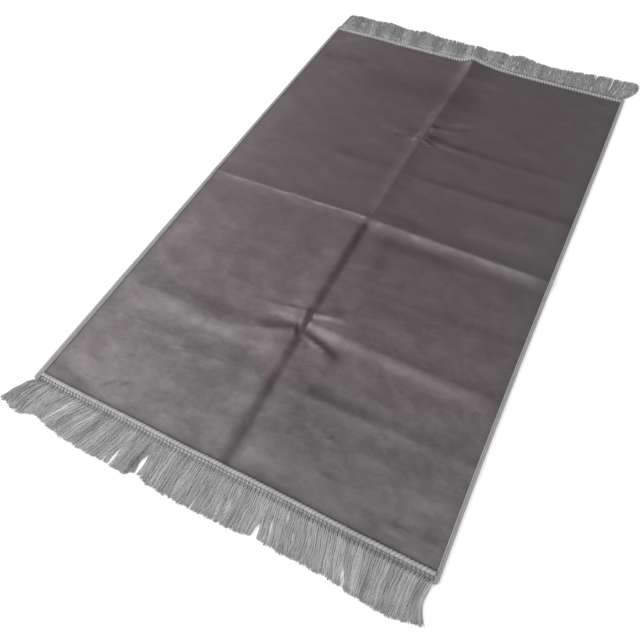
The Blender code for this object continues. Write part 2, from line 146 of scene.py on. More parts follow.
# Bands of painted light and shade along the folds, the pinches and small creases, and patches where the nap
# is darker or
# lighter: like the ridges, with the change of tone in place of their rise
LIGHT_SHADE_AND_NAP_MARKS = table_of(
    Band,
    # fold across the middle
    (-345, -18.5, -10, -10.2, 0.43, 6, 2.5, 300, 1), (-345, -18.5, -10, -10.2, 0.24, 4, 2.5, 20, 1),
    (-345, -30, -130, -26, -0.09, 10, 13, 20, 60), (14, -14, 340, -19, 0.23, 16, 2.5, 3, 60),
    (75, -23, 150, -24, 0.14, 12, 8, 25, 30), (10, -53, 350, -50, -0.1, 14, 15, 30, 40),
    # lengthwise valley
    (-3.5, -10, -4, -46, -0.34, 8, 8, 6, 26), (-4, -20, -1.6, -131, -0.36, 15, 15, 12, 1),
    (-4, -130, -1, -270, -0.15, 15, 14, 1, 1), (1.5, -271, 4.5, -378, -0.23, 17, 13, 1, 1),
    (4.5, -377, 5.5, -436, -0.24, 17, 13, 1, 1), (5.5, -435, 7.5, -534, -0.27, 23, 17, 1, 1),
    (55, -130, 57, -400, 0.21, 18, 18, 30, 30),
    # near pinch
    (-9, -238, -8, -298, 0.3, 9, 6, 14, 16), (0, -241, 66, -217, -0.3, 7, 9, 3, 25),
    (3, -251, 72, -239, 0.45, 9, 8, 3, 26), (20, -256, 66, -256, 0.12, 4, 4, 8, 15),
    (5, -262, 125, -262, 0.6, 10, 9, 4, 70), (3, -275, 330, -289, 0.41, 22, 12, 5, 110),
    (2, -283, 104, -320, -0.6, 12, 13, 4, 58), (3, -295, 98, -330, -0.4, 14, 12, 4, 55),
    (5, -303, 18, -309, 0.38, 5, 5, 5, 6), (20, -306, 76, -329, 0.25, 8, 8, 8, 20),
    (-84, -268, -3, -272, 0.5, 13, 10, 40, 4), (-42, -234, -12, -244, 0.38, 5, 5, 8, 4),
    (-96, -306, -5, -285, -0.5, 17, 15, 45, 5),
    # swell left of the near pinch
    (-356, -343, -20, -338, 0.19, 40, 24, 110, 15), (-190, -345, -24, -344, 0.2, 14, 14, 20, 20),
    (-335, -292, -205, -294, -0.14, 32, 34, 30, 50), (-230, -298, -78, -306, -0.19, 22, 22, 70, 10),
    (-200, -243, -20, -243, 0.11, 13, 11, 40, 15),
    # far pinch
    (0, 285, 30, 290, -0.5, 8, 8, 4, 14), (20, 289, 94, 311, -0.17, 6, 6, 10, 25),
    (28, 309, 98, 323, 0.25, 9, 9, 15, 20), (4, 270, 18, 268, 0.4, 5, 5, 3, 7),
    (6, 257, 66, 258, -0.27, 9, 8, 3, 40), (3, 249, 170, 243, -0.34, 14, 15, 4, 90),
    (3, 240, 32, 229, -0.45, 7, 7, 3, 10), (28, 237, 54, 233, 0.22, 4, 4, 6, 12),
    (-12, 264, -13, 220, 0.34, 6, 6, 8, 12), (-9, 495, -3, 470, 0.24, 8, 7, 8, 8),
    (-10, 345, -12, 296, 0.27, 6, 6, 15, 8), (-50, 266, -14, 260, -0.25, 7, 8, 15, 5),
    (-106, 250, -30, 248, 0.17, 10, 7, 20, 8), (-66, 233, -22, 232, -0.28, 6, 6, 12, 8),
    # faint folds across the rug
    (110, 243, 320, 241, -0.16, 18, 18, 50, 130), (12, 132, 356, 132, -0.14, 10, 19, 15, 1),
    (-190, 142, -10, 142, -0.12, 13, 26, 50, 20), (12, -161, 356, -162, -0.19, 12, 12, 70, 1),
    (-345, -378, -14, -379, -0.07, 20, 18, 40, 10), (-330, -391, -14, -391, -0.2, 8, 7, 20, 10),
    (14, -377, 356, -377, -0.14, 17, 20, 16, 1), (40, -379, 175, -382, -0.24, 11, 24, 30, 40),
    # patches: brushed nap, and some painted shade
    (-240, 400, 130, 395, -0.2, 75, 62, 90, 90), (-318, 290, -318, 0, 0.13, 60, 30, 60, 20),
    (-305, -130, -300, -235, 0.21, 50, 40, 30, 30), (15, -48, 235, -44, -0.16, 30, 22, 20, 90),
    (70, -185, 200, -185, -0.13, 18, 18, 30, 30), (76, -222, 190, -226, 0.13, 15, 14, 20, 50),
    (150, -425, 290, -425, -0.2, 25, 20, 30, 30), (190, -507, 335, -505, -0.3, 25, 20, 50, 30),
    (262, -465, 335, -462, 0.17, 15, 15, 15, 15), (20, -503, 92, -511, 0.19, 22, 18, 8, 25),
    (-345, -506, -236, -531, -0.38, 22, 13, 5, 40), (-322, -280, -320, -534, -0.09, 30, 44, 60, 1),
    (-318, -436, -300, -486, 0.08, 10, 10, 12, 12), (14, 472, 115, 470, 0.15, 28, 26, 15, 40),
    (-322, 483, -254, 536, 0.18, 14, 16, 10, 10), (-340, 425, -200, 445, -0.18, 25, 25, 30, 30),
    (140, 35, 310, 40, 0.19, 26, 26, 40, 40), (4, 12, 120, 8, -0.13, 16, 20, 5, 40),
    (-48, -120, -22, -112, 0.26, 14, 14, 8, 8), (20, -126, 52, -118, 0.2, 10, 10, 6, 10),
    # painted shade along small creases in the nap, and one painted highlight
    (135, -485, 184, -483, -0.25, 3, 3, 8, 10), (248, -507, 292, -498, -0.29, 5, 5, 8, 10),
    (236, -517, 332, -509, 0.36, 7, 6, 25, 25), (-235, -439, -211, -451, -0.28, 6, 6, 6, 6),
    (-213, -500, -191, -485, -0.37, 5, 5, 6, 6), (-231, -514, -219, -495, -0.36, 5, 5, 5, 5),
    (-147, -502, -125, -486, -0.17, 4, 4, 6, 6), (-182, -526, -118, -509, -0.17, 4, 4, 8, 12),
    (-199, 65, -190, 76, -0.16, 4, 4, 4, 4),
)

# Places along the cloth where its grid is fine, with the spacing there
Mark = namedtuple("Mark", "place spacing")
MIDDLE_ROW = -14.0
COLUMN_MARKS = table_of(Mark, (-335, 4), (-326, 6), (0, 1.6), (326, 6), (335, 4))
ROW_MARKS = table_of(Mark, (-534.2, 4), (-387, 4), (-289, 2.6), (-263, 2.4), (MIDDLE_ROW, 1.8), (127, 4),
                     (251, 2.8), (534.2, 4))
COARSE_SPACING = 6.5
SPACING_GROWTH = 0.1
DRIFT_REACH = 90.0  # how far to the sides the grid bends along with a fold

# The locks of each fringe by the place of their roots: sideways shift half-way and at the tip, length
# from root to tip, and how far a corner's locks spread to the side straight past the binding
Lock = namedtuple("Lock", "x middle tip length spread", defaults=(0,))
NEAR_LOCKS = table_of(
    Lock,
    (-330, -18, -35, 48, -12), (-318, -12, -20, 56, -4), (-300, -8, -15, 56), (-286, -8, -11, 48),
    (-265, -14, -22, 48), (-235, -18, -30, 54), (-200, -13, -24, 60), (-165, -7, -14, 60),
    (-143, -5, -10, 60), (-118, -3, -4, 62), (-100, -2, -2, 54), (-80, -1, -1, 58), (0, 0, 1, 61),
    (60, 2, 3, 59), (92, 3, 5, 54), (108, 5, 11, 55), (150, 8, 15, 55), (195, 8, 16, 55),
    (212, 8, 17, 57), (250, 4, 8, 59), (290, 0, 1, 61), (320, -3, 1, 56), (332, -3, 6, 51),
)
FAR_LOCKS = table_of(
    Lock,
    (-332, 1, 1, 57, -6), (-318, -4, -7, 60), (-290, -6, -13, 63), (-250, -7, -16, 60),
    (-210, -7, -16, 67), (-180, -6, -12, 61), (-155, -5, -10, 60), (-125, -5, -10, 68),
    (-90, -5, -10, 60), (-45, -4, -9, 60), (-15, -3, -7, 57), (8, -2, -5, 63), (25, -2, -4, 55),
    (60, -1, -3, 62), (78, -2, -3, 55), (105, -2, -4, 66), (145, -3, -6, 55), (185, -2, -4, 52),
    (225, 0, 0, 56), (270, 1, 2, 63), (305, 3, 4, 66), (322, 9, 12, 66), (332, 18, 19, 68),
    (337, 20, 21, 62, 1),
)
SPREAD_SHARE = 0.1  # share of its length where a corner's lock has spread to the side

# Gaps where the yarns part and the floor shows: place of the parting, half of its width at the tips,
# how far to the sides it pushes the yarns, and the share of the length where it starts
Parting = namedtuple("Parting", "x half_width reach start")
NEAR_PARTINGS = table_of(
    Parting,
    (-137, 4.2, 13, 0.4), (-97.5, 5, 15, 0.3), (93, 4.5, 14, 0.35), (190, 3.2, 9, 0.4),
    (213, 3.2, 9, 0.4),
)
FAR_PARTINGS = ()

# Darker and lighter patches of a fringe: place of their roots, half of the width, the share of the length
# where they are strongest, how far that reaches, and the change of tone
Shade = namedtuple("Shade", "x half_width share reach change")
NEAR_SHADES = table_of(
    Shade,
    (-322, 3.5, 0.4, 0.35, -0.4), (-308, 5, 0.75, 0.3, -0.24), (-276, 9, 0.55, 0.35, -0.2),
    (-248, 14, 0.45, 0.45, 0.12), (-222, 6, 0.75, 0.25, -0.14), (-192, 3, 0.35, 0.35, -0.26),
    (-130, 4, 0.75, 0.3, 0.12), (-105, 5.5, 0.7, 0.5, -0.9), (-93, 4, 0.8, 0.3, 0.12),
    (6, 4, 0.45, 0.4, -0.34), (30, 12, 0.6, 0.4, 0.06), (53, 3.5, 0.85, 0.2, -0.26),
    (99, 6, 0.45, 0.3, -0.14), (189, 2.5, 0.55, 0.25, 0.22), (212, 2.5, 0.55, 0.25, 0.26),
    (249, 9, 0.6, 0.3, -0.22), (322, 5, 0.35, 0.35, -0.55), (330, 4, 0.9, 0.3, -0.16),
)
FAR_SHADES = table_of(
    Shade,
    (-328, 7, 0.75, 0.35, -0.2), (-288, 4, 0.6, 0.35, -0.32), (-250, 14, 0.5, 0.5, 0.16),
    (-202, 5, 0.5, 0.45, -0.45), (-172, 6, 0.4, 0.25, -0.16), (-103, 8, 0.8, 0.3, -0.2),
    (-50, 20, 0.75, 0.4, -0.16), (-16, 4, 0.45, 0.45, 0.34), (5, 9, 0.65, 0.4, -0.26),
    (30, 5, 0.45, 0.4, 0.16), (58, 12, 0.4, 0.5, 0.14), (118, 6, 0.6, 0.35, -0.3),
    (200, 6, 0.5, 0.5, 0.12), (255, 20, 0.8, 0.3, -0.12), (335, 4, 0.4, 0.6, -0.18),
)


# -------------------- shape of the rug
def at(table, value):
    """Row of a table at a value of its first column, straight between its rows."""
    columns = np.array(table, dtype=float).T
    return table[0]._make([value] + [np.interp(value, columns[0], column) for column in columns[1:]])


def ease(share):
    """Smooth step from 0 to 1."""
    share = np.clip(share, 0.0, 1.0)
    return share * share * (3.0 - 2.0 * share)


def ridge_profile(across, minus_reach, plus_reach):
    """Crest of 1 that falls to 0 at its reach on either side, steepest beside the rounded crest."""
    reach = np.where(across < 0.0, minus_reach, plus_reach)
    distance = np.sqrt(across ** 2 + CREST_ROUNDING ** 2) - CREST_ROUNDING
    return np.clip(1.0 - distance / reach, 0.0, 1.0) ** 2


def valley_profile(across):
    """Valley of 0 with a steep wall up to a left flank of 1, and a gentle one up to the right flank."""
    away = across - VALLEY_SHIFT
    left = ease(-away / STEEP_WALL) * ease((FLANK_REACH + away) / (FLANK_REACH - STEEP_WALL))
    right = GENTLE_SHARE * ease(away / GENTLE_WALL) * ease((FLANK_REACH - away) / (FLANK_REACH - GENTLE_WALL))
    return np.where(away < 0.0, left, right)


def soft_profile(across, minus_reach, plus_reach):
    """Soft band of 1 in its middle that falls to 0 at its reach on either side."""
    reach = np.where(across < 0.0, minus_reach, plus_reach)
    return ease(1.0 - np.abs(across) / reach)


def strength(band, x, y, profile):
    """How strong a ridge, or a mark of painted light, shade and nap, is at a place, from 0 to 1."""
    run = math.hypot(band.x2 - band.x1, band.y2 - band.y1)
    ahead_x = (band.x2 - band.x1) / run
    ahead_y = (band.y2 - band.y1) / run
    along = (x - band.x1) * ahead_x + (y - band.y1) * ahead_y
    across = (y - band.y1) * ahead_x - (x - band.x1) * ahead_y
    fading = ease(along / band.fade_in) * ease((run - along) / band.fade_out)
    return fading * profile(across, band.near_reach, band.far_reach)


def lift(x, y):
    """Height that the fold marks give the rug over the floor."""
    x = x / MM
    y = y / MM
    fold = at(MIDDLE_FOLD, x)
    crosswise = fold.rise * ridge_profile(y - fold.y, fold.near_reach, fold.far_reach)
    spine = at(SPINE_FOLD, y)
    from_spine = x - spine.x
    lengthwise = spine.ridge * ridge_profile(from_spine, spine.left_reach, spine.right_reach)
    height = np.maximum(crosswise, lengthwise) + spine.flank * valley_profile(from_spine)
    for ridge in SHORT_RIDGES:
        height = height + ridge.peak * strength(ridge, x, y, ridge_profile)
    return height * MM


def edge_x(edge, y):
    """X of one long edge of the rug."""
    share = y / MM / EDGE_HALF_LENGTH
    straight = edge.middle + edge.skew * share
    return (straight + edge.bow * share * share + edge.wave * (share - share ** 3)) * MM


def binding_width(edge, y):
    """Width of the binding of one long edge."""
    widening = np.clip((WIDENING_START - y / MM) / (WIDENING_START - WIDENING_FULL), 0.0, 1.0)
    return (edge.far_width + (edge.near_width - edge.far_width) * widening) * MM


def askew_y(x, y):
    """Y of a place once the rug's ends lie out of square."""
    share = ease((np.abs(y) / MM - STRAY_START) / (STRAY_FULL - STRAY_START))
    shift = np.where(y > 0.0, at(FAR_END, x / MM).shift, at(NEAR_END, x / MM).shift)
    return y + shift * share * MM


def inset_from_edge(x, y):
    """Distance to the nearer long edge."""
    return np.minimum(x - edge_x(LEFT_EDGE, y), edge_x(RIGHT_EDGE, y) - x)


def inside_x(share, y):
    """X at a share of the way from the left binding to the right one, clear of both."""
    left = edge_x(LEFT_EDGE, y) + binding_width(LEFT_EDGE, y) + CLEARANCE
    right = edge_x(RIGHT_EDGE, y) - binding_width(RIGHT_EDGE, y) - CLEARANCE
    return left + (right - left) * share


def stations(marks):
    """Grid positions in metres that hit every mark and spread out between the marks."""
    positions = [marks[0].place]
    for first, second in zip(marks, marks[1:]):
        steps = [0.0]
        span = second.place - first.place
        while steps[-1] < span - 0.5 * min(first.spacing, second.spacing):
            spacing = min(first.spacing + SPACING_GROWTH * steps[-1],
                          second.spacing + SPACING_GROWTH * (span - steps[-1]),
                          COARSE_SPACING)
            steps.append(steps[-1] + spacing)
        positions += [first.place + step * span / steps[-1] for step in steps[1:]]
    return np.array(positions) * MM


def beside_fold(x, y):
    """Y of a grid row at x, bent along with the fold across the middle."""
    from_fold = (y / MM - MIDDLE_ROW) / DRIFT_REACH
    return y + (at(MIDDLE_FOLD, x / MM).y - MIDDLE_ROW) * MM * np.exp(-from_fold ** 2)


def seat(x, y):
    """Height that the lower lips of the bindings give the cloth near its long edges."""
    return CLOTH_SEAT * (1.0 - ease((inset_from_edge(x, y) - SEAT_FLAT) / (SEAT_END - SEAT_FLAT)))


# -------------------- making of pieces
SEAM_GAP = 0.001 * MM


def coordinates(mesh):
    """X, Y and Z of a mesh's vertices, one array each."""
    flat = np.empty(len(mesh.vertices) * 3)
    mesh.vertices.foreach_get("co", flat)
    return flat.reshape(-1, 3).T


def move_vertices(mesh, x, y, z):
    mesh.vertices.foreach_set("co", np.stack((x, y, z), axis=1).ravel())


def grid_mesh(name, columns, rows, place):
    """Grid whose vertices go where place(column, row) says, with both as whole-number arrays."""
    bm = bmesh.new()
    bmesh.ops.create_grid(bm, x_segments=columns - 1, y_segments=rows - 1, size=1.0)
    mesh = bpy.data.meshes.new(name)
    bm.to_mesh(mesh)
    bm.free()
    x, y, _ = coordinates(mesh)
    column = np.rint((x + 1.0) / 2.0 * (columns - 1)).astype(int)
    row = np.rint((y + 1.0) / 2.0 * (rows - 1)).astype(int)
    move_vertices(mesh, *place(column, row))
    mesh.update()
    return mesh


def close_tubes(mesh, seam_gap=None):
    """Merge the seam of a tube if it has one, fill the ends and turn the faces outwards."""
    bm = bmesh.new()
    bm.from_mesh(mesh)
    if seam_gap:
        bmesh.ops.remove_doubles(bm, verts=bm.verts, dist=seam_gap)
    bmesh.ops.holes_fill(bm, edges=bm.edges, sides=0)
    bmesh.ops.recalc_face_normals(bm, faces=bm.faces)
    bm.to_mesh(mesh)
    bm.free()


def tube_mesh(name, points, rings, place):
    """Closed tube that place() rolled up from a grid, with X and Y of its vertices."""
    mesh = grid_mesh(name, points + 1, rings, place)
    close_tubes(mesh, SEAM_GAP)
    x, y, _ = coordinates(mesh)
    return mesh, x, y


def add_object(name, data):
    """Object that is linked into the scene."""
    thing = bpy.data.objects.new(name, data)
    bpy.context.scene.collection.objects.link(thing)
    return thing


def add_attribute(mesh, name, values):
    layer = mesh.attributes.new(name, "FLOAT", "POINT")
    layer.data.foreach_set("value", np.asarray(values, dtype=np.float32))


def add_piece(name, mesh, material, node):
    """Piece shown in place of a node. Its mesh was shaped as if the rug's ends were square."""
    x, y, z = coordinates(mesh)
    move_vertices(mesh, x, askew_y(x, y), z)
    piece = add_object(name, mesh)
    mesh.materials.clear()
    mesh.materials.append(material)
    mesh.shade_smooth()
    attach(piece, BODY)
    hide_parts(node)
    return piece


# -------------------- materials
FLAT_GREY = (0.0755, 0.0700, 0.0718, 1.0)
STANDING_MAUVE = (0.0915, 0.0700, 0.0755, 1.0)
BINDING_COLOUR = (0.270, 0.267, 0.270)
CORD_COLOUR = (0.310, 0.304, 0.309)
FRINGE_COLOUR = (0.285, 0.285, 0.290)
TAPE_COLOUR = (0.290, 0.288, 0.292)


def feed(tree, node, values):
    """Link each named or numbered input of a node to a socket, or set it to a plain value."""
    for label, value in values.items():
        if isinstance(value, bpy.types.NodeSocket):
            tree.links.new(value, node.inputs[label])
        else:
            node.inputs[label].default_value = value


def add_node(tree, kind, values=None, **settings):
    """Outputs of a new node that has these settings and inputs."""
    node = tree.nodes.new("ShaderNode" + kind)
    for name, value in settings.items():
        setattr(node, name, value)
    feed(tree, node, values or {})
    return node.outputs


def math_node(tree, operation, first, second):
    """Result of a math node."""
    return add_node(tree, "Math", {0: first, 1: second}, operation=operation)["Value"]


def noise_node(tree, vector, scale, detail=3.0, roughness=0.5, swirl=0.0):
    """Noise between 0 and 1."""
    values = {"Vector": vector, "Scale": scale, "Detail": detail, "Roughness": roughness, "Distortion": swirl}
    return add_node(tree, "TexNoise", values)["Fac"]


def stretched(tree, vector, stretch_y, turn):
    """Coordinates stretched along Y and turned about Z."""
    values = {"Vector": vector, "Scale": (1.0, stretch_y, 1.0), "Rotation": (0.0, 0.0, turn)}
    return add_node(tree, "Mapping", values)["Vector"]


def map_range(tree, value, low, high, new_low, new_high):
    """Value carried over from one range to another, and held there."""
    values = {"Value": value, "From Min": low, "From Max": high, "To Min": new_low, "To Max": new_high}
    return add_node(tree, "MapRange", values)["Result"]


def scaled_colour(tree, colour, factor):
    """Colour times a factor."""
    return add_node(tree, "VectorMath", {0: colour, "Scale": factor}, operation="SCALE")["Vector"]


def bump(tree, height, distance):
    """Normal of a surface that has fine relief."""
    return add_node(tree, "Bump", {"Distance": distance, "Strength": 0.5, "Height": height})["Normal"]


def attribute(tree, name):
    """Value that a piece's mesh carries at each vertex."""
    return add_node(tree, "Attribute", attribute_name=name)["Fac"]


def yarn_shading_group():
    """Colour and height of spun yarn: uneven dye, and fibres that run round the strand."""
    group = bpy.data.node_groups.new("spun_yarn", "ShaderNodeTree")
    inputs = {"Colour": ("Color", (0.4, 0.4, 0.4, 1.0)), "Vector": ("Vector", (0.0, 0.0, 0.0)),
              "Tone": ("Float", 1.0), "Fibre Scale": ("Float", 900.0)}
    for label, (kind, value) in inputs.items():
        socket = group.interface.new_socket(label, in_out="INPUT", socket_type="NodeSocket" + kind)
        socket.default_value = value
    for label, kind in (("Colour", "Color"), ("Height", "Float")):
        group.interface.new_socket(label, in_out="OUTPUT", socket_type="NodeSocket" + kind)
    given = group.nodes.new("NodeGroupInput").outputs
    cloudy = noise_node(group, given["Vector"], 60.0)
    fibres = noise_node(group, given["Vector"], given["Fibre Scale"], detail=2.0)
    gain = math_node(group, "MULTIPLY", map_range(group, cloudy, 0.3, 0.7, 0.93, 1.07),
                     map_range(group, fibres, 0.3, 0.7, 0.90, 1.10))
    gain = math_node(group, "MULTIPLY", gain, given["Tone"])
    feed(group, group.nodes.new("NodeGroupOutput"),
         {"Colour": scaled_colour(group, given["Colour"], gain), "Height": fibres})
    return group


def principled(name, values):
    """Material, with its tree and its shader, whose inputs have these values."""
    material = bpy.data.materials.new(name)
    material.use_nodes = True
    tree = material.node_tree
    shader = tree.nodes["Principled BSDF"]
    feed(tree, shader, values)
    return material, tree, shader


def yarn_material(name, colour, roughness, sheen, fibre_scale, group):
    """Spun yarn, with each strand's own tone from the piece's attribute."""
    material, tree, shader = principled(name, {"Roughness": roughness, "Specular IOR Level": 0.25,
                                               "Sheen Weight": sheen, "Sheen Roughness": 0.5})
    yarn = add_node(tree, "Group", {"Colour": (*colour, 1.0), "Fibre Scale": fibre_scale,
                                    "Vector": add_node(tree, "TexCoord")["Object"],
                                    "Tone": attribute(tree, "tone")}, node_tree=group)
    feed(tree, shader, {"Base Color": yarn["Colour"], "Normal": bump(tree, yarn["Height"], 0.3 * MM)})
    return material


def velvet_material():
    """Short pile with brushed patches, mauve where it stands, and neutral grey where it lies flat and where
    it carries painted highlights.
    """
    material, tree, shader = principled("velvet_pile", {"Roughness": 0.9, "Specular IOR Level": 0.05,
                                                        "Sheen Weight": 0.08, "Sheen Roughness": 0.4})
    place = add_node(tree, "TexCoord")["Object"]
    clouds = noise_node(tree, stretched(tree, place, 1.35, 0.15), 13.0, swirl=0.5)
    patches = noise_node(tree, stretched(tree, place, 1.3, 0.3), 30.0, swirl=0.9)
    streaks = noise_node(tree, stretched(tree, place, 2.0, -0.35), 85.0, swirl=0.6)
    pile = noise_node(tree, place, 900.0, detail=2.0, roughness=0.6)
    swing = math_node(tree, "ADD", map_range(tree, clouds, 0.38, 0.62, -0.09, 0.09),
                      map_range(tree, patches, 0.42, 0.62, -0.07, 0.08))
    swing = math_node(tree, "ADD", swing, map_range(tree, streaks, 0.38, 0.66, -0.04, 0.05))
    swing = math_node(tree, "MULTIPLY", swing, attribute(tree, "brushed"))
    swing = math_node(tree, "ADD", swing, map_range(tree, pile, 0.3, 0.7, -0.07, 0.07))
    gain = math_node(tree, "MULTIPLY", math_node(tree, "ADD", swing, 1.0), attribute(tree, "tone"))
    hue = math_node(tree, "ADD", attribute(tree, "mauve"), map_range(tree, clouds, 0.38, 0.62, 0.15, -0.15))
    mixed = add_node(tree, "Mix", {"A": FLAT_GREY, "B": STANDING_MAUVE, "Factor": hue}, data_type="RGBA")
    relief = math_node(tree, "ADD", pile, math_node(tree, "MULTIPLY", streaks, 1.5))
    feed(tree, shader, {"Base Color": scaled_colour(tree, mixed["Result"], gain),
                        "Normal": bump(tree, relief, 0.5 * MM)})
    return material


# -------------------- velvet sheet
CRUMPLE_SEED = 11
CRUMPLE_WAVES = 14
CRUMPLE_HEIGHT = 0.08 * MM
CREASES = 34  # small creases near the near end, where the rug was handled
EDGE_SHADE = 0.05  # how much darker the pile is beside the bindings, partly pressed pile and partly painted shade,
LEFT_SHADE = 0.17  # how much more beside the left one towards the near end,
END_SHADE = 0.34  # and beside the near cord
WANDER_WAVES = 12
MARK_WANDER = 0.9  # how far the borders of the marks of painted light, shade and nap stray, in millimetres
SLOPE_WANDER = 0.26  # how unevenly the painted light and shade follow a slope
SLOPE_STEP = 1.0 * MM
LIGHT_ON_LEFT_SLOPES = 0.80  # painted light: how much lighter a slope that faces left, towards the light, is made
SHADE_ON_RIGHT_SLOPES = 1.40  # painted shade: how much darker one that faces right, away from the light
LIGHT_ON_NEAR_SLOPES = 1.60  # painted light on one that faces the near end, towards the light
SHADE_ON_FAR_SLOPES = 0.85  # painted shade on one that faces the far end, away from the light
PANEL_STEP = 0.08  # step in tone over the lengthwise fold, in the near half
HIGHLIGHT_NEUTRAL = 0.65  # share of its mauve that the nap loses where its painted light is brightest, so painted highlights look neutral grey


def wave(x, y, length, heading, start):
    """Straight waves over the rug, from -1 to 1, whose length is in millimetres."""
    along = x * math.cos(heading) + y * math.sin(heading)
    return np.sin(TURN * along / (length * MM) + start)


def crumple(x, y):
    """Slight unevenness of cloth that lies loose: a few crossing waves, and small creases."""
    draw = np.random.RandomState(CRUMPLE_SEED)
    height = np.full_like(x, CRUMPLE_HEIGHT)
    for _ in range(CRUMPLE_WAVES):
        height += CRUMPLE_HEIGHT * wave(x, y, draw.uniform(40.0, 130.0), draw.normal(0.5 * math.pi, 0.8),
                                        draw.uniform(0.0, TURN))
    for _ in range(CREASES):
        start_x = draw.uniform(-310.0, 290.0)
        start_y = draw.uniform(-515.0, -350.0)
        heading = draw.normal(0.0, 0.5)
        run = draw.uniform(18.0, 48.0)
        crease = Band(start_x, start_y, start_x + run * math.cos(heading), start_y + run * math.sin(heading),
                      draw.uniform(0.25, 0.65), draw.uniform(4.0, 8.0), draw.uniform(5.0, 11.0), 8, 12)
        height += crease.peak * strength(crease, x / MM, y / MM, ridge_profile) * MM
    inside = ease((inset_from_edge(x, y) - 12.0 * MM) / (30.0 * MM))
    from_end = ease((CLOTH_END - np.abs(y) - 3.0 * MM) / (25.0 * MM))
    return np.maximum(height, -0.5 * CRUMPLE_HEIGHT) * inside * from_end


def fold_height(x, y):
    """Height of the folds and crumples, without the slopes down from the bindings."""
    return lift(x, y) + crumple(x, y)


def wander(x, y, seed):
    """Smooth unevenness, mostly from -1 to 1."""
    draw = np.random.RandomState(seed)
    value = np.zeros_like(x)
    for _ in range(WANDER_WAVES):
        crossing = wave(x, y, draw.uniform(18.0, 80.0), draw.uniform(0.0, math.pi), draw.uniform(0.0, TURN))
        value += crossing / math.sqrt(WANDER_WAVES)
    return value


def painted_slope_light_and_marks(x, y):
    """Painted light and shade by slope, lighter where a slope faces the light at the near left, with the
    marks of painted light, shade and nap.
    """
    slope_x = (fold_height(x + SLOPE_STEP, y) - fold_height(x - SLOPE_STEP, y)) / (2.0 * SLOPE_STEP)
    slope_y = (fold_height(x, y + SLOPE_STEP) - fold_height(x, y - SLOPE_STEP)) / (2.0 * SLOPE_STEP)
    change = slope_x * np.where(slope_x > 0.0, LIGHT_ON_LEFT_SLOPES, SHADE_ON_RIGHT_SLOPES)
    change += slope_y * np.where(slope_y > 0.0, LIGHT_ON_NEAR_SLOPES, SHADE_ON_FAR_SLOPES)
    change = np.clip(change, -0.6, 0.75) * (1.0 + SLOPE_WANDER * wander(x, y, 1))
    mark_x = x / MM + MARK_WANDER * wander(x, y, 2)
    mark_y = y / MM + MARK_WANDER * wander(x, y, 3)
    for mark in LIGHT_SHADE_AND_NAP_MARKS:
        change += mark.peak * strength(mark, mark_x, mark_y, soft_profile)
    return np.exp(change)


def panel_tone(x, y):
    """Tone of each part of the rug: lighter towards the near left, partly the nap's lean and partly painted
    light from the near left, and darker beside the bindings and the near cord, partly pressed pile and partly
    painted shade.
    """
    # lighter towards the near left: partly the nap's lean, partly painted light falling from the near left
    lean = -0.06 - 0.54 * x - 0.72 * y + 1.90 * x ** 2 + 0.96 * y ** 2 + 0.16 * x * y
    spine = at(SPINE_FOLD, y / MM).x * MM
    near_half = ease((-y - 10.0 * MM) / (20.0 * MM))
    left_side = 1.0 - ease((x - spine + 4.0 * MM) / (8.0 * MM))
    edge_distance = np.clip(np.minimum(x - inside_x(0.0, y), inside_x(1.0, y) - x), 0.0, None)
    shade = EDGE_SHADE + LEFT_SHADE * ease(0.4 - y / 0.8) * (x < 0.0)
    pressed_and_shaded = 1.0 - shade * np.exp(-edge_distance / (7.0 * MM))
    pressed_and_shaded *= 1.0 - END_SHADE * np.exp(-(y + CLOTH_END) / (8.0 * MM))
    return np.exp(lean + PANEL_STEP * near_half * (left_side - 0.5)) * pressed_and_shaded


def mauve_share(x, y):
    """How mauve the nap looks: most along the middle, least near the near end, where it lies flat."""
    border = -0.345 + 0.45 * (x - 0.17) ** 2 - 0.07 * np.exp(-((x - 0.004) / 0.022) ** 2)
    inner = ease((y - border + 0.05) / 0.10)
    beside_middle = np.where(x > 0.0, 7.5 * x ** 2, -1.6 * x)
    far_right = ease((y - 0.40) / 0.12) * ease((x + 0.02) / 0.06)
    return inner * (1.0 - beside_middle) * (1.0 - 0.6 * far_right)


def add_velvet():
    columns = stations(COLUMN_MARKS)
    rows = stations(ROW_MARKS)

    def place(column, row):
        y = rows[row]
        half_width = np.where(columns[column] > 0.0, edge_x(RIGHT_EDGE, y), -edge_x(LEFT_EDGE, y))
        x = columns[column] / HALF_WIDTH * (half_width - BINDING_WALL - CLEARANCE)
        from_spine = x / MM / DRIFT_REACH
        x = x + at(SPINE_FOLD, y / MM).x * MM * np.exp(-from_spine ** 2)
        y = beside_fold(x, y)
        return x, y, lift(x, y) + seat(x, y) + crumple(x, y)

    mesh = grid_mesh("velvet_sheet", len(columns), len(rows), place)
    x, y, _ = coordinates(mesh)
    slope_light_and_marks = painted_slope_light_and_marks(x, y)
    painted_highlight = ease((np.log(slope_light_and_marks) - 0.08) / 0.45)
    add_attribute(mesh, "tone", panel_tone(x, y) * slope_light_and_marks)
    add_attribute(mesh, "mauve", mauve_share(x, y) * (1.0 - HIGHLIGHT_NEUTRAL * painted_highlight))
    add_attribute(mesh, "brushed", 0.35 + 0.65 * ease((0.05 - y) / 0.35))
    piece = add_piece("velvet_sheet", mesh, velvet_material(), "rug_cloth")
    thickness = piece.modifiers.new("thickness", "SOLIDIFY")
    thickness.thickness = CLOTH_THICKNESS
    thickness.offset = 1.0
    return piece


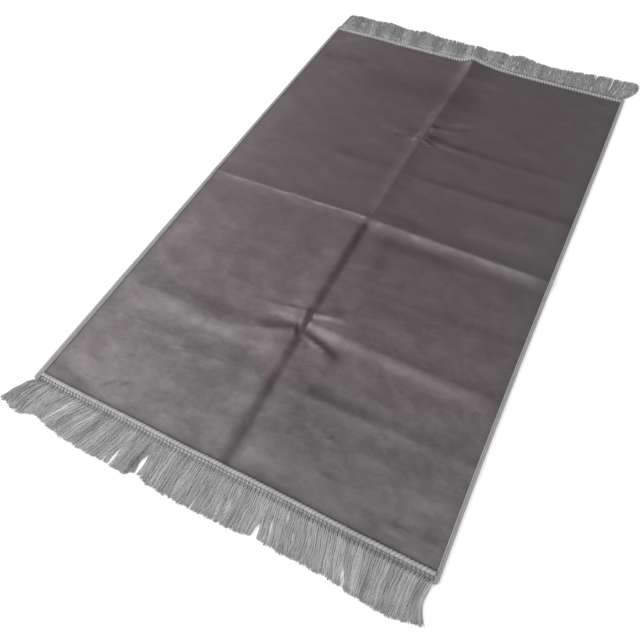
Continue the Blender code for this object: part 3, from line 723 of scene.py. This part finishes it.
# -------------------- bindings of the long edges
# Section of a binding, round from its lower inner edge: distance in from the rug's edge, height, and how
# far the wound yarn stands out there
SECTION_WIDTH = 7.4  # is stretched to the binding's own width
CHANNEL_BACK = 1.3  # distance in of the back of the channel that holds the cloth
BindingPoint = namedtuple("BindingPoint", "inset height swell")
BINDING_SECTION = table_of(
    BindingPoint,
    (SECTION_WIDTH, 0, 0), (0.9, 0, 0), (0.1, 1.2, 0.3), (0, 2.4, 0.4), (0.7, 3.7, 0.5),
    (2.1, 4.5, 0.5), (3.6, 4.5, 0.4), (4.7, 4, 0.2), (5.5, 4.6, 0.3), (6.6, 4.7, 0.4),
    (SECTION_WIDTH, 4.1, 0.3), (SECTION_WIDTH, 3.6, 0), (CHANNEL_BACK, 3.6, 0),
    (CHANNEL_BACK, 1, 0), (SECTION_WIDTH, 1, 0),
)
SWELL_REACH = 4.2  # the yarn's swell is whole at this distance from the section's middle,
SWELL_HEIGHT = 2.8  # or at this height
SECTION_MIDDLE = 2.3  # over this one
INNER_ROLL = 4.2  # where the inner roll of yarn starts,
GROOVE_INSET = 4.7  # and where the groove between the rolls is deepest, with painted shade in it
BINDING_PITCH = 2.7 * MM
RINGS_PER_WINDING = 3
BINDING_SLANT = 0.35  # windings that the yarn runs ahead across the binding
CHANNEL_END_DEPTH = 0.4  # what is left of the channel past the cloth's ends
CORNER_RUN = 6.0 * MM  # the binding's outer corners are rounded over this length,
CORNER_DEPTH = 3.6  # and this far in


def add_binding(name, node, edge, inward, outer_painted_light, inner_painted_light, material):
    windings = round(2.0 * BINDING_END / BINDING_PITCH)
    rings = windings * RINGS_PER_WINDING + 1
    section = np.array(BINDING_SECTION)
    points = len(section)

    def place(column, ring):
        point = column % points
        start_y = -BINDING_END + 2.0 * BINDING_END * ring / (rings - 1)
        width = binding_width(edge, start_y) / MM
        inset, height, swell = section[point].T
        phase = ring / RINGS_PER_WINDING + BINDING_SLANT * inset / SECTION_WIDTH
        swell = -0.5 * swell * np.cos(TURN * phase)
        channel_back = np.where(np.abs(start_y) > CORD_START, width - CHANNEL_END_DEPTH, CHANNEL_BACK)
        inset = np.where(inset == CHANNEL_BACK, channel_back, inset * width / SECTION_WIDTH)
        inset = inset + swell * (inset - 0.5 * width) / SWELL_REACH
        past = np.clip(1.0 - (BINDING_END - np.abs(start_y)) / CORNER_RUN, 0.0, 1.0)
        inset = inset + CORNER_DEPTH * (1.0 - np.sqrt(1.0 - past ** 2)) * (1.0 - inset / width)
        height = height + swell * (height - SECTION_MIDDLE) / SWELL_HEIGHT
        y = beside_fold(edge_x(edge, start_y), start_y)
        x = edge_x(edge, y) + inward * inset * MM
        return x, y, lift(x, y) + np.maximum(height, 0.0) * MM

    mesh, x, y = tube_mesh(name, points, rings, place)
    inset = (x - edge_x(edge, y)) * inward * SECTION_WIDTH / binding_width(edge, y)
    ring = (y / BINDING_END + 1.0) * 0.5 * windings
    phase = ring + BINDING_SLANT * inset / SECTION_WIDTH
    # Painted light on the roll that faces the light from the left, and painted shade between the windings and
    # in the groove between the rolls
    between_windings = (0.5 + 0.5 * np.cos(TURN * phase)) ** 2
    groove = np.exp(-((inset - GROOVE_INSET) / 0.8) ** 2)
    painted_roll_light = outer_painted_light + (inner_painted_light - outer_painted_light) * ease(inset - INNER_ROLL)
    add_attribute(mesh, "tone", painted_roll_light * (1.0 - 0.30 * between_windings) * (1.0 - 0.40 * groove))
    return add_piece(name, mesh, material, node)


# -------------------- cords of the ends
CORD_POINTS = 16
CORD_RINGS = 10  # rings for each stitch
CORD_HEIGHT = 6.0
STITCH_SLANT = 0.62  # stitches that one runs ahead on its way over the cord
STITCH_DEPTH = 0.22  # how deep the yarn is pulled in between stitches, as a share
YARN_RIPPLE = 0.025
STITCH_SEED = 5


def stitch_place(share, across):
    """How far between two stitches a place on the cord lies: 0 on a stitch's crest, 1 between two."""
    phase = share * STITCHES + STITCH_SLANT * (across / CORD_WIDTH - 0.5)
    return np.abs(2.0 * (phase - np.floor(phase)) - 1.0), phase


def add_cord(name, node, side, cord_tone, cloth_side_shade, joint_shade, material):
    rings = STITCHES * CORD_RINGS + 1
    draw = np.random.RandomState(STITCH_SEED)
    size = draw.uniform(0.95, 1.06, STITCHES + 3)
    own_tone = cord_tone * draw.uniform(0.92, 1.08, STITCHES + 3)

    def place(column, ring):
        angle = TURN * (column % CORD_POINTS) / CORD_POINTS
        across = 0.5 * CORD_WIDTH * np.cos(angle)
        height = np.sin(angle) * 0.5 * CORD_HEIGHT
        share = ring / (rings - 1)
        hollow, phase = stitch_place(share, across + 0.5 * CORD_WIDTH)
        ripple = YARN_RIPPLE * np.cos(6.0 * math.pi * phase)
        swell = (1.0 - STITCH_DEPTH * hollow ** 4 + ripple) * size[np.floor(phase).astype(int) + 1]
        y = side * (CORD_START + 0.5 * CORD_WIDTH + across * np.minimum(swell, 1.0))
        x = inside_x(share, y)
        rise = np.maximum(0.5 * CORD_HEIGHT + height * swell, 0.0) * MM
        return x, y, lift(x, y) + rise

    mesh, x, y = tube_mesh(name, CORD_POINTS, rings, place)
    left = inside_x(0.0, y)
    share = (x - left) / (inside_x(1.0, y) - left)
    hollow, phase = stitch_place(share, side * y - CORD_START)
    # Painted shade on the side of the cord that faces the cloth, and in the hollows between the stitches
    beside_cloth = ease(1.0 - (side * y - CORD_START) / (0.75 * CORD_WIDTH))
    joint_and_cloth_shade = joint_shade + 0.25 * beside_cloth
    tone = own_tone[np.floor(phase).astype(int) + 1] * (1.08 - cloth_side_shade * beside_cloth)
    add_attribute(mesh, "tone", tone * (1.0 - joint_and_cloth_shade * hollow ** 4))
    return add_piece(name, mesh, material, node)


# -------------------- headings and fringes
HEADING_HEIGHT = 1.7  # the tape that carries the fringe
LINK_POINTS = 7
LINK_LENGTH = 4.8
LINK_YARN = 1.15 * MM  # radius
LINK_TILT = 0.75  # from along the heading, in radians
LINK_INSET = 2.3 * MM  # from the cord to the middle of the chain
LINK_ARCH = 1.1  # how much higher the middle of a link is than its ends

BUNDLES_PER_STITCH = 2
EXTRA_BUNDLES = 5  # at each end of a fringe, from the end of the binding
YARNS_PER_BUNDLE = 9
YARN_RADIUS = 0.50 * MM
YARN_POINTS = 9
CORE_RADIUS = 1.05 * MM  # the first yarn of a bundle, which the others hide
STITCH_PITCH = 6.14  # millimetres
CLUMP_LEAN = 0.85  # how far to a side a clump's tips stray,
BUNDLE_LEAN = 1.2  # how far a bundle's,
YARN_LEAN = 1.7  # and how far a single yarn's
CLUMP_PULL = 0.16  # most of the way to the middle of its clump that a bundle's tip goes
BUNDLE_BEND = 0.85
YARN_BEND = 0.35
BUNDLE_RADIUS = 1.15  # how far its yarns lie from the middle of a bundle
ROOT_SHARE = -0.07  # the yarns come out from under the chain stitches
# root_tone is painted shade at the yarns' roots under the chain stitches, a little painted light at the far
# end, fading out over root_reach of the length
Fringe = namedtuple("Fringe", "side locks partings shades seed pinch tone root_tone root_reach streaks")
NEAR_FRINGE = Fringe(-1.0, NEAR_LOCKS, NEAR_PARTINGS, NEAR_SHADES, 21, 0.55, 1.12, 0.70, 0.06, 0.07)
# The far fringe's lower tone is painted shade: both fringes are the same yarn
FAR_FRINGE = Fringe(1.0, FAR_LOCKS, FAR_PARTINGS, FAR_SHADES, 22, 0.85, 0.73, 1.05, 0.26, 0.11)
STREAK_WAVES = 12


def yarn_tubes(name, x, y, z, radii, tones):
    """Mesh of closed round strands, one through each row of points, with a tone at each point."""
    paths = np.stack((x, y, z), axis=2)
    curve = bpy.data.curves.new(name, "CURVE")
    curve.dimensions = "3D"
    curve.bevel_depth = 1.0
    curve.bevel_resolution = 0
    count = paths.shape[1]
    for path, radius in zip(paths, radii):
        spline = curve.splines.new("POLY")
        spline.points.add(count - 1)
        spline.points.foreach_set("co", np.concatenate((path, np.ones((count, 1))), axis=1).ravel())
        spline.points.foreach_set("radius", radius)
    carrier = bpy.data.objects.new(name, curve)
    mesh = bpy.data.meshes.new_from_object(carrier)
    bpy.data.objects.remove(carrier)
    bpy.data.curves.remove(curve)
    mesh.name = name
    add_attribute(mesh, "tone", np.repeat(tones.ravel(), len(mesh.vertices) // tones.size))
    close_tubes(mesh)
    return mesh


def lock_place(root_x, share, side, locks):
    """Where the line of yarn that starts at root_x has got to at a share of its length."""
    lock = at(locks, root_x / MM)
    still_to_go = np.clip(1.0 - share, 0.0, 1.0)
    spread = lock.spread * ease(share / SPREAD_SHARE) * still_to_go
    bent = share * (4.0 * lock.middle - lock.tip) + share ** 2 * (2.0 * lock.tip - 4.0 * lock.middle)
    floor = lift(root_x, side * FRINGE_ROOT) * still_to_go ** 2
    return root_x + (bent + spread) * MM, side * (FRINGE_ROOT + share * lock.length * MM), floor


def parted(root, share, partings):
    """Sideways push in millimetres that the partings give a yarn."""
    push = np.zeros_like(root * share)
    for parting in partings:
        away = root - parting.x
        opened = ease((share - parting.start) / (1.0 - parting.start) * 1.3)
        push += np.sign(away) * parting.half_width * np.exp(-np.abs(away) / parting.reach) * opened
    return push


def bundle_spots():
    """Places of the bundles along a fringe, in stitches, with a few more of them at both ends."""
    even = (np.arange(STITCHES * BUNDLES_PER_STITCH) + 0.5) / BUNDLES_PER_STITCH
    more = (np.arange(EXTRA_BUNDLES) + 0.25) / BUNDLES_PER_STITCH
    return np.sort(np.concatenate((more, even, STITCHES - more)))


def clumps(draw, spots):
    """Which clump each bundle hangs together with, and the middles of the clumps, all in stitches."""
    borders = np.cumsum(draw.uniform(1.6, 4.6, STITCHES))
    clump = np.searchsorted(borders, spots)
    middles = np.array([spots[clump == number].mean() for number in range(clump.max() + 1)])
    return clump, middles


def painted_heading_light(x):
    """Painted light: how much lighter the headings, the chain stitches and the roots of the yarns are made
    towards the left, where the light falls on them.
    """
    return 1.38 - 0.48 * ease((x / MM + 30.0) / 290.0)


def fringe_tone(draw, root, share, fringe):
    """Tone of a fringe at places along its yarns: streaks, shades, and painted light and shade at the roots.
    """
    change = np.zeros_like(root)
    for _ in range(STREAK_WAVES):
        change += np.sin(TURN * (root / draw.uniform(9.0, 60.0) + draw.uniform(0.0, 1.0)))
    change = change * fringe.streaks / math.sqrt(0.5 * STREAK_WAVES) + np.zeros_like(share)
    for shade in fringe.shades:
        beside = np.exp(-((root - shade.x) / shade.half_width) ** 2)
        change += shade.change * beside * np.exp(-((share - shade.share) / shade.reach) ** 2)
    at_root = np.interp(share, (0.0, fringe.root_reach), (1.0, 0.0))
    root_tone = 1.0 + (fringe.root_tone * painted_heading_light(root * MM) - 1.0) * at_root
    return fringe.tone * root_tone * np.exp(change)


def add_fringe(name, node, fringe, material):
    draw = np.random.RandomState(fringe.seed)
    spots = bundle_spots()
    bundles = len(spots)
    yarns = bundles * YARNS_PER_BUNDLE
    bundle = np.repeat(np.arange(bundles), YARNS_PER_BUNDLE)
    is_core = np.arange(yarns) % YARNS_PER_BUNDLE == 0
    spot = spots[bundle]
    stitch_middle = np.floor(spot) + 0.5
    root_y = fringe.side * FRINGE_ROOT
    share = ROOT_SHARE + (1.0 - ROOT_SHARE) * np.linspace(0.0, 1.0, YARN_POINTS)[None, :]
    length_gain = 1.0 + draw.normal(0.0, 0.015, bundles)[bundle] + draw.normal(0.0, 0.018, yarns)
    length_gain = np.where(is_core, 0.96, length_gain)
    share = np.where(share > 0.0, share * length_gain[:, None], share)

    # Bundles leave their stitch pinched together and spread over its whole width
    gathered = fringe.pinch + (1.0 - fringe.pinch) * ease((share + 0.02) / 0.11)
    spread_spot = stitch_middle[:, None] + (spot - stitch_middle)[:, None] * gathered
    root_x = inside_x(spread_spot / STITCHES, root_y)
    x, y, floor = lock_place(root_x, share, fringe.side, fringe.locks)

    # Bundles and yarns wander a little more the nearer they come to their tips
    out = np.clip(share, 0.0, 1.2)
    loose = out ** 1.5
    clump, clump_middle = clumps(draw, spots)
    pull = (clump_middle[clump[bundle]] - spot) * STITCH_PITCH
    pull *= draw.uniform(0.0, CLUMP_PULL, bundles)[bundle]
    lean = draw.normal(0.0, CLUMP_LEAN, len(clump_middle))[clump[bundle]]
    sway = (pull + lean + draw.normal(0.0, BUNDLE_LEAN, bundles)[bundle])[:, None] * loose
    bend = draw.normal(0.0, BUNDLE_BEND, bundles)[bundle][:, None] * np.sin(2.6 * math.pi * out)
    own_sway = np.where(is_core, 0.0, draw.normal(0.0, YARN_LEAN, yarns))[:, None] * loose
    own_sway += draw.normal(0.0, YARN_BEND, yarns)[:, None] * np.sin(TURN * out)
    own_angle = draw.uniform(0.0, TURN, yarns)
    own_offset = np.where(is_core, 0.0, BUNDLE_RADIUS * np.sqrt(draw.uniform(0.15, 1.0, yarns)))
    twist = own_angle[:, None] + 2.0 * share
    across = own_offset[:, None] * np.cos(twist)
    above = own_offset[:, None] * np.sin(twist)
    narrow = np.interp(share, (-0.1, 0.02, 0.2, 1.0), (0.7, 0.7, 1.0, 1.25))
    x = x + (sway + bend + own_sway + across * narrow
             + parted(root_x / MM, share, fringe.partings)) * MM

    # Bundles lie in two loose layers and come down to the floor past the heading
    layer = (bundle % 2)[:, None] * 0.3 + draw.uniform(0.0, 0.4, bundles)[bundle][:, None]
    crest = np.interp(share, (-0.1, 0.0, 0.1, 0.5, 1.0), (2.9, 2.7, 2.0, 1.5, 1.1)) + layer
    z = floor + (crest + above * 0.75) * MM
    radii = np.where(is_core, CORE_RADIUS, YARN_RADIUS)[:, None]
    radii = radii * np.interp(share, (-0.1, 0.8, 1.05), (1.0, 1.0, 0.7))
    z = np.maximum(z, radii)
    own_tone = draw.normal(1.0, 0.04, len(clump_middle))[clump[bundle]]
    own_tone += draw.normal(0.0, 0.045, bundles)[bundle] + draw.normal(0.0, 0.05, yarns)
    tones = own_tone[:, None] * fringe_tone(draw, root_x / MM, share, fringe)
    return add_piece(name, yarn_tubes(name, x, y, z, radii, tones), material, node)


def add_heading(name, node, fringe, material):
    """Tape between the cord and the fringe."""
    top = HEADING_HEIGHT * MM
    section = np.array(((STRIP_START, 0.0), (FRINGE_ROOT, 0.0), (FRINGE_ROOT, 0.9 * MM),
                        (FRINGE_ROOT - 1.0 * MM, top), (STRIP_START + 5.0 * MM, top),
                        (STRIP_START + 3.0 * MM, top), (STRIP_START, top)))
    points = len(section)
    rings = 4 * STITCHES + 1

    def place(column, ring):
        point = column % points
        y = fringe.side * section[point, 0]
        x = inside_x(ring / (rings - 1), y)
        return x, y, lift(x, fringe.side * FRINGE_ROOT) + section[point, 1]

    mesh, x, y = tube_mesh(name, points, rings, place)
    # Painted light towards the left, and painted shade along the tape's edge towards the yarns
    towards_yarns = ease((np.abs(y) - STRIP_START - 3.0 * MM) / (2.0 * MM))
    add_attribute(mesh, "tone", painted_heading_light(x) * (1.0 + (fringe.root_tone - 1.0) * towards_yarns))
    return add_piece(name, mesh, material, node)


def add_chain(name, node, fringe, material):
    """Row of slanted stitches along the heading, one for each lock, that holds the yarns down."""
    draw = np.random.RandomState(fringe.seed + 10)
    share = np.linspace(-1.0, 1.0, LINK_POINTS)[None, :]
    centre_y = fringe.side * (STRIP_START + LINK_INSET)
    centre_x = inside_x((np.arange(STITCHES) + 0.5) / STITCHES, centre_y)[:, None]
    tilt = -fringe.side * LINK_TILT + draw.normal(0.0, 0.10, STITCHES)[:, None]
    along = 0.5 * LINK_LENGTH * share
    x = centre_x + along * np.cos(tilt) * MM
    y = centre_y - along * np.sin(tilt) * MM
    rise = (HEADING_HEIGHT + 0.3 + LINK_ARCH * (1.0 - share ** 2)) * MM
    z = lift(x, fringe.side * FRINGE_ROOT) + rise
    radii = LINK_YARN * np.tile(0.45 + 0.55 * np.sqrt(1.0 - 0.9 * share ** 2), (STITCHES, 1))
    # Each stitch's own random tone, with painted light towards the left
    tones = draw.uniform(0.92, 1.10, STITCHES)[:, None] * painted_heading_light(centre_x) * np.ones((1, LINK_POINTS))
    return add_piece(name, yarn_tubes(name, x, y, z, radii, tones), material, node)


# -------------------- floor, light and camera
FLOOR_REACH = 8.0
FLOOR_DROP = 0.2 * MM  # how far under the rug the floor lies


def add_floor():
    def place(column, row):
        return (2 * column - 1) * FLOOR_REACH, (2 * row - 1) * FLOOR_REACH, 0.0 * row - FLOOR_DROP

    mesh = grid_mesh("floor", 2, 2, place)
    mesh.materials.append(principled("pale_floor", {"Base Color": (0.96, 0.96, 0.96, 1.0), "Roughness": 0.9,
                                                    "Specular IOR Level": 0.0})[0])
    add_object("floor", mesh)


def add_studio():
    """Pale surroundings, and a soft light from the left that shines at the middle of the rug."""
    world = bpy.data.worlds.new("studio")
    world.use_nodes = True
    sky = world.node_tree.nodes["Background"]
    feed(world.node_tree, sky, {"Color": (1.0, 1.0, 1.0, 1.0), "Strength": 1.04})
    bpy.context.scene.world = world
    data = bpy.data.lights.new("key_light", "AREA")
    data.size = 1.8
    data.energy = 60.0
    light = add_object("key_light", data)
    light.location = (-2.3, -1.3, 1.5)
    light.rotation_euler = (1.03143252, 0.0, -1.07144961)


def add_camera():
    data = bpy.data.cameras.new("camera")
    data.sensor_fit = "HORIZONTAL"
    data.sensor_width = 36.0
    data.lens = 35.61
    data.clip_start = 0.01
    camera = add_object("camera", data)
    camera.location = (0.31625434, -0.77670632, 0.85717752)
    camera.rotation_euler = (0.6134499, 0.0329580, 0.4710494)
    bpy.context.scene.camera = camera


def main():
    add_camera()
    add_studio()
    add_floor()
    bpy.context.scene.view_settings.view_transform = "Standard"
    yarn = yarn_shading_group()
    binding_yarn = yarn_material("binding_yarn_wound", BINDING_COLOUR, 0.75, 0.2, 900.0, yarn)
    cord_yarn = yarn_material("cord_yarn_whipped", CORD_COLOUR, 0.7, 0.2, 900.0, yarn)
    fringe_yarn = yarn_material("fringe_yarn_spun", FRINGE_COLOUR, 0.6, 0.2, 900.0, yarn)
    heading_tape = yarn_material("heading_tape", TAPE_COLOUR, 0.8, 0.1, 1200.0, yarn)
    velvet = add_velvet()
    trim = [
        add_binding("binding_yarn_left", "binding_left", LEFT_EDGE, 1.0, 1.14, 1.02, binding_yarn),
        add_binding("binding_yarn_right", "binding_right", RIGHT_EDGE, -1.0, 1.12, 1.14, binding_yarn),
        add_cord("cord_yarn_near", "cord_near", -1.0, 1.0, 0.42, 0.36, cord_yarn),
        add_cord("cord_yarn_far", "cord_far", 1.0, 1.08, 0.20, 0.70, cord_yarn),
        add_heading("heading_near", "fringe_near", NEAR_FRINGE, heading_tape),
        add_heading("heading_far", "fringe_far", FAR_FRINGE, heading_tape),
        add_chain("chain_stitches_near", "fringe_near", NEAR_FRINGE, cord_yarn),
        add_chain("chain_stitches_far", "fringe_far", FAR_FRINGE, cord_yarn),
        add_fringe("fringe_yarns_near", "fringe_near", NEAR_FRINGE, fringe_yarn),
        add_fringe("fringe_yarns_far", "fringe_far", FAR_FRINGE, fringe_yarn),
    ]


main()
